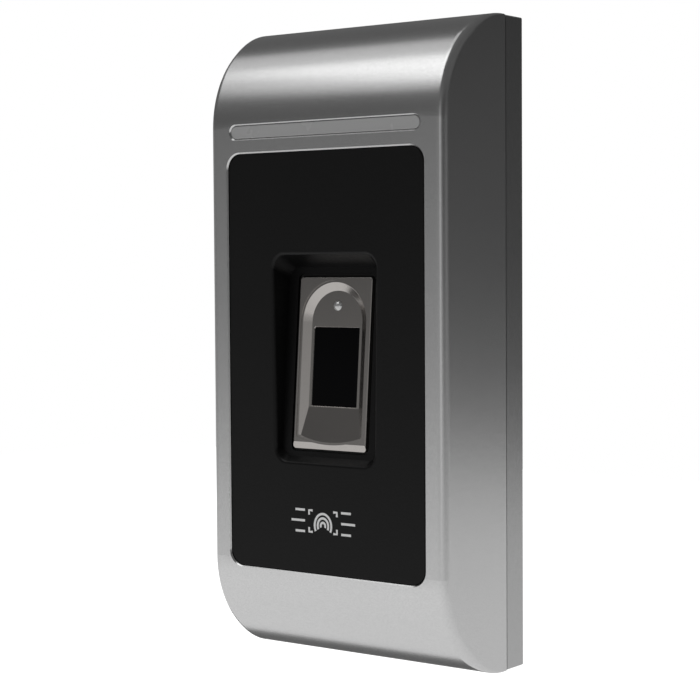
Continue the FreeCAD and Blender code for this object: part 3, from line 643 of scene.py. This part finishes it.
def islandsOf(name):
    # the separate solids of a node, each as a list of points
    work = bmesh.new()
    work.from_mesh(frame["nodes"][name].data)
    bmesh.ops.remove_doubles(work, verts=work.verts, dist=1e-6)
    seen = set()
    islands = []
    for first in work.verts:
        if first in seen:
            continue
        seen.add(first)
        stack = [first]
        island = []
        while stack:
            vert = stack.pop()
            island.append(vert.co.copy())
            for edge in vert.link_edges:
                other = edge.other_vert(vert)
                if other not in seen:
                    seen.add(other)
                    stack.append(other)
        islands.append(island)
    work.free()
    return islands


def axisTop(island, axis, side):
    # centre of the island's end face along the axis
    other = axis.cross(side)
    middle = [(min(p.dot(d) for p in island) + max(p.dot(d) for p in island)) / 2 for d in (side, other)]
    return side * middle[0] + other * middle[1] + axis * max(p.dot(axis) for p in island)


def latheMesh(name, profile, sides):
    # profile: (radius, height) pairs from the top centre to the bottom centre, turned about Z
    work = bmesh.new()
    turns = [2 * math.pi * i / sides for i in range(sides)]
    rings = []
    for radius, height in profile:
        if radius == 0:
            rings.append([work.verts.new((0, 0, height))] * sides)
        else:
            ring = [(radius * math.cos(a), radius * math.sin(a), height) for a in turns]
            rings.append([work.verts.new(point) for point in ring])
    for upper, lower in zip(rings, rings[1:]):
        for i in range(sides):
            j = (i + 1) % sides
            corners = []
            for vert in (upper[i], lower[i], lower[j], upper[j]):
                if vert not in corners:
                    corners.append(vert)
            work.faces.new(corners)
    bmesh.ops.recalc_face_normals(work, faces=work.faces)
    mesh = bpy.data.meshes.new(name)
    work.to_mesh(mesh)
    work.free()
    return mesh


def prismMesh(name, outline, top, bottom, shrink):
    # closed prism over a flat outline, its lower end scaled
    work = bmesh.new()
    upper = [work.verts.new((x, y, top)) for x, y in outline]
    lower = [work.verts.new((x * shrink, y * shrink, bottom)) for x, y in outline]
    work.faces.new(upper)
    work.faces.new(lower[::-1])
    for i in range(len(outline)):
        j = (i + 1) % len(outline)
        work.faces.new((upper[j], upper[i], lower[i], lower[j]))
    bmesh.ops.recalc_face_normals(work, faces=work.faces)
    mesh = bpy.data.meshes.new(name)
    work.to_mesh(mesh)
    work.free()
    return mesh


def cutBy(name, mesh, cutterMesh):
    body = linkNew(name + "Blank", mesh)
    cutter = linkNew(name + "Cutter", cutterMesh)
    cut = body.modifiers.new("recess", "BOOLEAN")
    cut.operation = "DIFFERENCE"
    cut.solver = "EXACT"
    cut.object = cutter
    result = applied(body, name)
    bpy.data.objects.remove(cutter)
    return result


def crossOutline(arm, half):
    return [(arm, -half), (arm, half), (half, half), (half, arm), (-half, arm), (-half, half),
            (-arm, half), (-arm, -half), (-half, -half), (-half, -arm), (half, -arm), (half, -half)]


def lobeOutline(radius, lobes, depth, steps=72):
    turns = [2 * math.pi * i / steps for i in range(steps)]
    reach = [radius * (1 + depth * math.cos(lobes * a)) for a in turns]
    return [(r * math.cos(a), r * math.sin(a)) for r, a in zip(reach, turns)]


def makeScrewTree():
    # a screw blank with its thread, set at each point
    tree, given, out = startTree("screwSet", [
        ("Blank", "Object"), ("Thread Radius", "Float"), ("Thread Pitch", "Float"),
        ("Thread Length", "Float"), ("Thread Start", "Float"), ("Ridge", "Float"), ("Turn", "Rotation")])
    rounds = mathNode(tree, "DIVIDE", given["Thread Length"], given["Thread Pitch"])
    coil = addNode(tree, "GeometryNodeCurveSpiral", {"Resolution": 18})
    tree.links.new(rounds, coil.inputs["Rotations"])
    tree.links.new(given["Thread Radius"], coil.inputs["Start Radius"])
    tree.links.new(given["Thread Radius"], coil.inputs["End Radius"])
    tree.links.new(given["Thread Length"], coil.inputs["Height"])
    section = addNode(tree, "GeometryNodeCurvePrimitiveCircle", {"Resolution": 4})
    tree.links.new(given["Ridge"], section.inputs["Radius"])
    sweep = addNode(tree, "GeometryNodeCurveToMesh", {"Fill Caps": True})
    tree.links.new(coil.outputs[0], sweep.inputs["Curve"])
    tree.links.new(section.outputs[0], sweep.inputs["Profile Curve"])
    drop = addNode(tree, "ShaderNodeCombineXYZ")
    tree.links.new(given["Thread Start"], drop.inputs["Z"])
    lower = addNode(tree, "GeometryNodeTransform")
    tree.links.new(sweep.outputs[0], lower.inputs["Geometry"])
    tree.links.new(drop.outputs[0], lower.inputs["Translation"])
    blank = addNode(tree, "GeometryNodeObjectInfo")
    tree.links.new(given["Blank"], blank.inputs["Object"])
    both = addNode(tree, "GeometryNodeJoinGeometry")
    tree.links.new(blank.outputs["Geometry"], both.inputs[0])
    tree.links.new(lower.outputs[0], both.inputs[0])
    scatter = addNode(tree, "GeometryNodeInstanceOnPoints")
    tree.links.new(given["Geometry"], scatter.inputs["Points"])
    tree.links.new(both.outputs[0], scatter.inputs["Instance"])
    tree.links.new(given["Turn"], scatter.inputs["Rotation"])
    return endTree(tree, scatter.outputs[0], given, out)


screwTree = makeScrewTree()


def screwBlank(name, values, outline):
    head, tall = values["head"], values["tall"]
    ridge = values["shank"] * 0.2
    core = values["shank"] - ridge
    profile = [(0, 0), (head * 0.72, -tall * 0.02), (head * 0.92, -tall * 0.22), (head, -tall * 0.55),
               (head, -tall * 0.96), (head * 0.97, -tall), (core, -tall), (core, -values["long"] + core),
               (core * 0.35, -values["long"]), (0, -values["long"])]
    cutter = prismMesh(name + "Recess", outline, 0.0004, -values["recess"], 0.7)
    blank = cutBy(name + "Cut", latheMesh(name + "Lathe", profile, 40), cutter)
    return blank, core, ridge


def makeScrews(name, node, body, slot, values, axis, turn, outline, pin=0):
    blank, core, ridge = screwBlank(name, values, outline)
    blankObject = linkNew(name + "Pattern", blank)
    if pin:
        # a post left standing in the socket
        post = latheMesh(name + "Post", [(0, -0.00015), (pin, -0.0002), (pin, -values["recess"] - 0.0001),
                                         (0, -values["recess"] - 0.0001)], 20)
        work = bmesh.new()
        work.from_mesh(blank)
        work.from_mesh(post)
        work.to_mesh(blank)
        work.free()
    places = [axisTop(island, axis, Vector((1, 0, 0))) for island in islandsOf(node)]
    start = values["tall"] + 0.0003
    end = values["long"] - core
    piece = growPiece(name, screwTree, pointMesh(name + "Points", places), {
        "Blank": blankObject, "Thread Radius": core, "Thread Pitch": values["pitch"],
        "Thread Length": end - start, "Thread Start": -end, "Ridge": ridge,
        "Turn": turn, "Material": materials[slot]})
    bpy.data.objects.remove(blankObject)
    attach(piece, body)
    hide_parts(node)
    return piece


# screw sets, in metres: head radius and height, shank radius, whole length, thread pitch, recess depth
screwValues = {
    "panel_screws": {"head": 0.0017, "tall": 0.0010, "shank": 0.00095, "long": 0.0042, "pitch": 0.0005,
                     "recess": 0.0006},
    "light_screws": {"head": 0.0016, "tall": 0.0010, "shank": 0.00090, "long": 0.0051, "pitch": 0.0005,
                     "recess": 0.0006},
    "board_screws": {"head": 0.0025, "tall": 0.0018, "shank": 0.00125, "long": 0.0047, "pitch": 0.0006,
                     "recess": 0.0009},
    "cover_screws": {"head": 0.0024, "tall": 0.0009, "shank": 0.00120, "long": 0.0096, "pitch": 0.0006,
                     "recess": 0.0005},
    "bracket_screws": {"head": 0.0019, "tall": 0.0011, "shank": 0.00095, "long": 0.0096, "pitch": 0.0005,
                       "recess": 0.0006, "lean": 4.71},
}


def makeScrewSets():
    for node, values in screwValues.items():
        lean = math.radians(values.get("lean", 0))
        axis = Vector((0, math.cos(lean), -math.sin(lean)))
        turn = (-math.pi / 2 - lean, 0, 0)
        outline = crossOutline(values["head"] * 0.58, values["head"] * 0.13)
        name = "cross_head_" + node
        makeScrews(name, node, "terminal", nodeSlots[node], values, axis, turn, outline)


makeScrewSets()


# tamper-proof screw at the foot, with a lobed socket and a post in it
lockValues = {"head": 0.00275, "tall": 0.00105, "shank": 0.00145, "long": 0.00795, "pitch": 0.0007,
              "recess": 0.0008, "socket": 0.00125, "pin": 0.00035}
makeScrews("pin_socket_screw", "security_screw", "security_screw", nodeSlots["security_screw"], lockValues,
           Vector((0, 0, -1)), (math.pi, 0, 0), lobeOutline(lockValues["socket"], 6, 0.14),
           pin=lockValues["pin"])
print("screws threaded")


# tamper switch spring: round wire, wound along Y over the length of the CAD spring
springValues = {"wire": 0.00020, "radius": 0.00205, "turns": 4.0}


def makeSpringTree():
    tree, given, out = startTree("coilSpring", [("Wire", "Float"), ("Radius", "Float"), ("Turns", "Float"),
                                                ("Height", "Float"), ("Place", "Vector")])
    coil = addNode(tree, "GeometryNodeCurveSpiral", {"Resolution": 40})
    tree.links.new(given["Turns"], coil.inputs["Rotations"])
    tree.links.new(given["Radius"], coil.inputs["Start Radius"])
    tree.links.new(given["Radius"], coil.inputs["End Radius"])
    tree.links.new(given["Height"], coil.inputs["Height"])
    section = addNode(tree, "GeometryNodeCurvePrimitiveCircle", {"Resolution": 14})
    tree.links.new(given["Wire"], section.inputs["Radius"])
    sweep = addNode(tree, "GeometryNodeCurveToMesh", {"Fill Caps": True})
    tree.links.new(coil.outputs[0], sweep.inputs["Curve"])
    tree.links.new(section.outputs[0], sweep.inputs["Profile Curve"])
    lay = addNode(tree, "GeometryNodeTransform", {"Rotation": (-math.pi / 2, 0, 0)})
    tree.links.new(sweep.outputs[0], lay.inputs["Geometry"])
    tree.links.new(given["Place"], lay.inputs["Translation"])
    return endTree(tree, lay.outputs[0], given, out)


def makeSpring(values):
    low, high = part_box("tamper_spring")
    middle = (low + high) / 2
    start = low.y + values["wire"]
    spring = growPiece("tamper_coil", makeSpringTree(), pointMesh("springSeat", [(0, 0, 0)]), {
        "Wire": values["wire"], "Radius": values["radius"], "Turns": values["turns"],
        "Height": high.y - low.y - 2 * values["wire"], "Place": (middle.x, start, middle.z),
        "Material": materials["spring_steel"]})
    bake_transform(spring)
    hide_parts("tamper_spring")


makeSpring(springValues)
print("spring wound")


# printed mark: a finger's ridges in a scanning frame with three lines at each side
markValues = {"low": -0.0532, "high": -0.0464, "half": 0.0117, "middle": -0.0006, "line": 0.00068,
              "ink": 0.00006, "ridges": 3, "ridgeGap": 0.00125, "firstRidge": 0.75, "narrow": 0.86,
              "sweep": 236, "corner": 0.42, "frameWide": 1.62, "lineGap": 2.2, "shortLine": 0.7}


def makeMarkTree(values):
    # ridges are arcs of growing size; the frame and the lines come in as edges
    tree, given, out = startTree("printedMark", [
        ("Ridges", "Int"), ("Ridge Gap", "Float"), ("Sweep", "Float"), ("Line", "Float"), ("Ink", "Float"),
        ("Centre", "Vector"), ("Place", "Vector")])
    arc = addNode(tree, "GeometryNodeCurveArc", {"Resolution": 40, "Radius": 1.0})
    tree.links.new(given["Sweep"], arc.inputs["Sweep Angle"])
    # the arc starts so that its gap is at the bottom
    begin = mathNode(tree, "MULTIPLY", mathNode(tree, "SUBTRACT", math.pi, given["Sweep"]), 0.5)
    tree.links.new(begin, arc.inputs["Start Angle"])
    row = addNode(tree, "GeometryNodeMeshLine", {"Offset": (0, 0, 0)})
    tree.links.new(given["Ridges"], row.inputs["Count"])
    index = addNode(tree, "GeometryNodeInputIndex")
    step = mathNode(tree, "ADD", index.outputs[0], values["firstRidge"])
    size = mathNode(tree, "MULTIPLY", step, given["Ridge Gap"])
    stretch = addNode(tree, "ShaderNodeCombineXYZ", {"Z": 1.0})
    tree.links.new(mathNode(tree, "MULTIPLY", size, values["narrow"]), stretch.inputs["X"])
    tree.links.new(size, stretch.inputs["Y"])
    ridges = addNode(tree, "GeometryNodeInstanceOnPoints")
    tree.links.new(row.outputs[0], ridges.inputs["Points"])
    tree.links.new(arc.outputs[0], ridges.inputs["Instance"])
    tree.links.new(stretch.outputs[0], ridges.inputs["Scale"])
    real = addNode(tree, "GeometryNodeRealizeInstances")
    tree.links.new(ridges.outputs[0], real.inputs[0])
    centred = addNode(tree, "GeometryNodeTransform")
    tree.links.new(real.outputs[0], centred.inputs["Geometry"])
    tree.links.new(given["Centre"], centred.inputs["Translation"])
    lines = addNode(tree, "GeometryNodeMeshToCurve")
    tree.links.new(given["Geometry"], lines.inputs[0])
    both = addNode(tree, "GeometryNodeJoinGeometry")
    tree.links.new(centred.outputs[0], both.inputs[0])
    tree.links.new(lines.outputs[0], both.inputs[0])
    flat = addNode(tree, "GeometryNodeSetCurveNormal", mode="Z_UP")
    tree.links.new(both.outputs[0], flat.inputs[0])
    section = addNode(tree, "GeometryNodeCurvePrimitiveQuadrilateral")
    tree.links.new(given["Line"], section.inputs["Width"])
    tree.links.new(given["Ink"], section.inputs["Height"])
    sweep = addNode(tree, "GeometryNodeCurveToMesh", {"Fill Caps": True})
    tree.links.new(flat.outputs[0], sweep.inputs["Curve"])
    tree.links.new(section.outputs[0], sweep.inputs["Profile Curve"])
    stand = addNode(tree, "GeometryNodeTransform", {"Rotation": (math.pi / 2, 0, 0)})
    tree.links.new(sweep.outputs[0], stand.inputs["Geometry"])
    tree.links.new(given["Place"], stand.inputs["Translation"])
    return endTree(tree, stand.outputs[0], given, out)


def markLines(values):
    tall = (values["high"] - values["low"]) / 2 - values["line"] / 2
    wide = values["half"] - values["line"] / 2
    arm = tall * values["corner"]
    inner = tall * values["frameWide"]
    start = inner + values["line"] * values["lineGap"]
    points = []
    edges = []
    for side in (-1, 1):
        first = len(points)
        points += [(side * (inner - arm), tall, 0), (side * inner, tall, 0), (side * inner, tall - arm, 0),
                   (side * inner, arm - tall, 0), (side * inner, -tall, 0), (side * (inner - arm), -tall, 0)]
        edges += [(first, first + 1), (first + 1, first + 2), (first + 3, first + 4), (first + 4, first + 5)]
        for level, reach in ((tall, values["shortLine"]), (0, 1.0), (-tall, values["shortLine"])):
            first = len(points)
            points += [(side * start, level, 0), (side * (start + (wide - start) * reach), level, 0)]
            edges.append((first, first + 1))
    return pointMesh("markLines", points, edges)


def makeMark(values):
    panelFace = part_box("front_panel")[0].y
    mark = growPiece("printed_mark", makeMarkTree(values), markLines(values), {
        "Ridges": values["ridges"], "Ridge Gap": values["ridgeGap"], "Sweep": math.radians(values["sweep"]),
        "Line": values["line"], "Ink": values["ink"], "Centre": (0, -values["ridgeGap"] * 0.9, 0),
        "Place": (values["middle"], panelFace, (values["low"] + values["high"]) / 2),
        "Material": materials["mark_ink"]})
    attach(mark, "terminal")


makeMark(markValues)
print("mark printed")


# legs of the chips, tinned and bent down to the board
legValues = {"wide": 0.0004, "reach": 0.0009, "thick": 0.00012, "high": 0.0007, "pitch": 0.0010,
             "setBack": 0.0009}


def legMesh(values):
    # one leg, standing along +X from the chip's flank, its foot on the board at y = 0
    half = values["wide"] / 2
    thick = values["thick"]
    high = values["high"]
    knee = values["reach"] * 0.35
    line = [(-0.0001, high), (knee, high), (knee + 0.0002, thick / 2), (values["reach"], thick / 2)]
    work = bmesh.new()
    rows = []
    for x, y in line:
        rows.append([work.verts.new((x, y - thick / 2, -half)), work.verts.new((x, y + thick / 2, -half)),
                     work.verts.new((x, y + thick / 2, half)), work.verts.new((x, y - thick / 2, half))])
    for first, second in zip(rows, rows[1:]):
        for i in range(4):
            j = (i + 1) % 4
            work.faces.new((first[i], first[j], second[j], second[i]))
    work.faces.new(rows[0][::-1])
    work.faces.new(rows[-1])
    bmesh.ops.recalc_face_normals(work, faces=work.faces)
    mesh = bpy.data.meshes.new("legPattern")
    work.to_mesh(mesh)
    work.free()
    return mesh


def makeLegTree():
    tree, given, out = startTree("chipLegs", [("Leg", "Object")])
    leg = addNode(tree, "GeometryNodeObjectInfo")
    tree.links.new(given["Leg"], leg.inputs["Object"])
    turn = addNode(tree, "GeometryNodeInputNamedAttribute", {"Name": "turn"}, data_type="FLOAT")
    aim = addNode(tree, "ShaderNodeCombineXYZ")
    tree.links.new(turn.outputs["Attribute"], aim.inputs["Y"])
    scatter = addNode(tree, "GeometryNodeInstanceOnPoints")
    tree.links.new(given["Geometry"], scatter.inputs["Points"])
    tree.links.new(leg.outputs["Geometry"], scatter.inputs["Instance"])
    tree.links.new(aim.outputs[0], scatter.inputs["Rotation"])
    return endTree(tree, scatter.outputs[0], given, out)


def legPlaces(values):
    # a square chip has legs on four sides, a long one on its two long sides
    points = []
    turns = []
    for island in islandsOf("main_chips"):
        x0, x1 = min(p.x for p in island), max(p.x for p in island)
        z0, z1 = min(p.z for p in island), max(p.z for p in island)
        board = min(p.y for p in island)
        square = abs((x1 - x0) - (z1 - z0)) < 0.0001
        alongZ = square or z1 - z0 > x1 - x0
        flanks = []
        if alongZ:
            flanks += [("x", x1, 0.0, z0, z1), ("x", x0, math.pi, z0, z1)]
        if square or not alongZ:
            flanks += [("z", z1, -math.pi / 2, x0, x1), ("z", z0, math.pi / 2, x0, x1)]
        for kind, place, angle, start, stop in flanks:
            count = int((stop - start - 2 * values["setBack"]) / values["pitch"]) + 1
            middle = (start + stop) / 2
            for i in range(count):
                at = middle + (i - (count - 1) / 2) * values["pitch"]
                points.append((place, board, at) if kind == "x" else (at, board, place))
                turns.append(angle)
    return pointMesh("legPlaces", points, turns=turns)


def makeLegs(values):
    pattern = linkNew("legPattern", legMesh(values))
    legs = growPiece("chip_legs", makeLegTree(), legPlaces(values), {
        "Leg": pattern, "Material": materials["zinc_screw"]})
    bpy.data.objects.remove(pattern)
    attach(legs, "terminal")


makeLegs(legValues)
print("chip legs bent")


# small resistors and capacitors scattered on the free stretches of the main board
passiveValues = {"size": (0.0016, 0.0005, 0.0008), "apart": 0.0034, "density": 90000.0, "seed": 7,
                 "zones": [(-0.028, -0.012, 0.010, 0.042), (0.012, 0.028, 0.014, 0.042),
                           (-0.028, -0.009, -0.040, -0.008), (0.009, 0.014, -0.040, -0.030)]}


def passiveMesh(size):
    # a ceramic body between two wrapped end caps
    work = bmesh.new()
    for share, swell, offset in ((0.62, 0.9, 0.0), (0.2, 1.0, -0.4), (0.2, 1.0, 0.4)):
        block = bmesh.ops.create_cube(work, size=1.0)["verts"]
        bmesh.ops.scale(work, vec=(size[0] * share, size[1] * swell, size[2] * swell), verts=block)
        bmesh.ops.translate(work, vec=(size[0] * offset, size[1] / 2, 0), verts=block)
    mesh = bpy.data.meshes.new("passivePattern")
    work.to_mesh(mesh)
    work.free()
    return mesh


def makePassiveTree():
    tree, given, out = startTree("boardPassives", [("Pattern", "Object"), ("Apart", "Float"),
                                                   ("Density", "Float"), ("Seed", "Int")])
    scatterPoints = addNode(tree, "GeometryNodeDistributePointsOnFaces", distribute_method="POISSON")
    tree.links.new(given["Geometry"], scatterPoints.inputs["Mesh"])
    tree.links.new(given["Apart"], scatterPoints.inputs["Distance Min"])
    tree.links.new(given["Density"], scatterPoints.inputs["Density Max"])
    tree.links.new(given["Seed"], scatterPoints.inputs["Seed"])
    # each part lies along X or along Z; inputs 4 and 5 are the whole-number limits
    quarter = addNode(tree, "FunctionNodeRandomValue", data_type="INT")
    quarter.inputs[4].default_value = 0
    quarter.inputs[5].default_value = 1
    tree.links.new(given["Seed"], quarter.inputs["Seed"])
    aim = addNode(tree, "ShaderNodeCombineXYZ")
    tree.links.new(mathNode(tree, "MULTIPLY", quarter.outputs[2], math.pi / 2), aim.inputs["Y"])
    pattern = addNode(tree, "GeometryNodeObjectInfo")
    tree.links.new(given["Pattern"], pattern.inputs["Object"])
    scatter = addNode(tree, "GeometryNodeInstanceOnPoints")
    tree.links.new(scatterPoints.outputs["Points"], scatter.inputs["Points"])
    tree.links.new(pattern.outputs["Geometry"], scatter.inputs["Instance"])
    tree.links.new(aim.outputs[0], scatter.inputs["Rotation"])
    return endTree(tree, scatter.outputs[0], given, out)


def passiveZones(values):
    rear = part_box("main_board")[1].y
    points = []
    faces = []
    for x0, x1, z0, z1 in values["zones"]:
        first = len(points)
        points += [(x0, rear, z0), (x0, rear, z1), (x1, rear, z1), (x1, rear, z0)]
        faces.append((first, first + 1, first + 2, first + 3))
    zones = bpy.data.meshes.new("passiveZones")
    zones.from_pydata(points, [], faces)
    return zones


def makePassives(values):
    pattern = linkNew("passivePattern", passiveMesh(values["size"]))
    parts = growPiece("board_passives", makePassiveTree(), passiveZones(values), {
        "Pattern": pattern, "Apart": values["apart"], "Density": values["density"],
        "Seed": values["seed"], "Material": materials["chip_black"]})
    bpy.data.objects.remove(pattern)
    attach(parts, "terminal")


makePassives(passiveValues)
print("board populated")
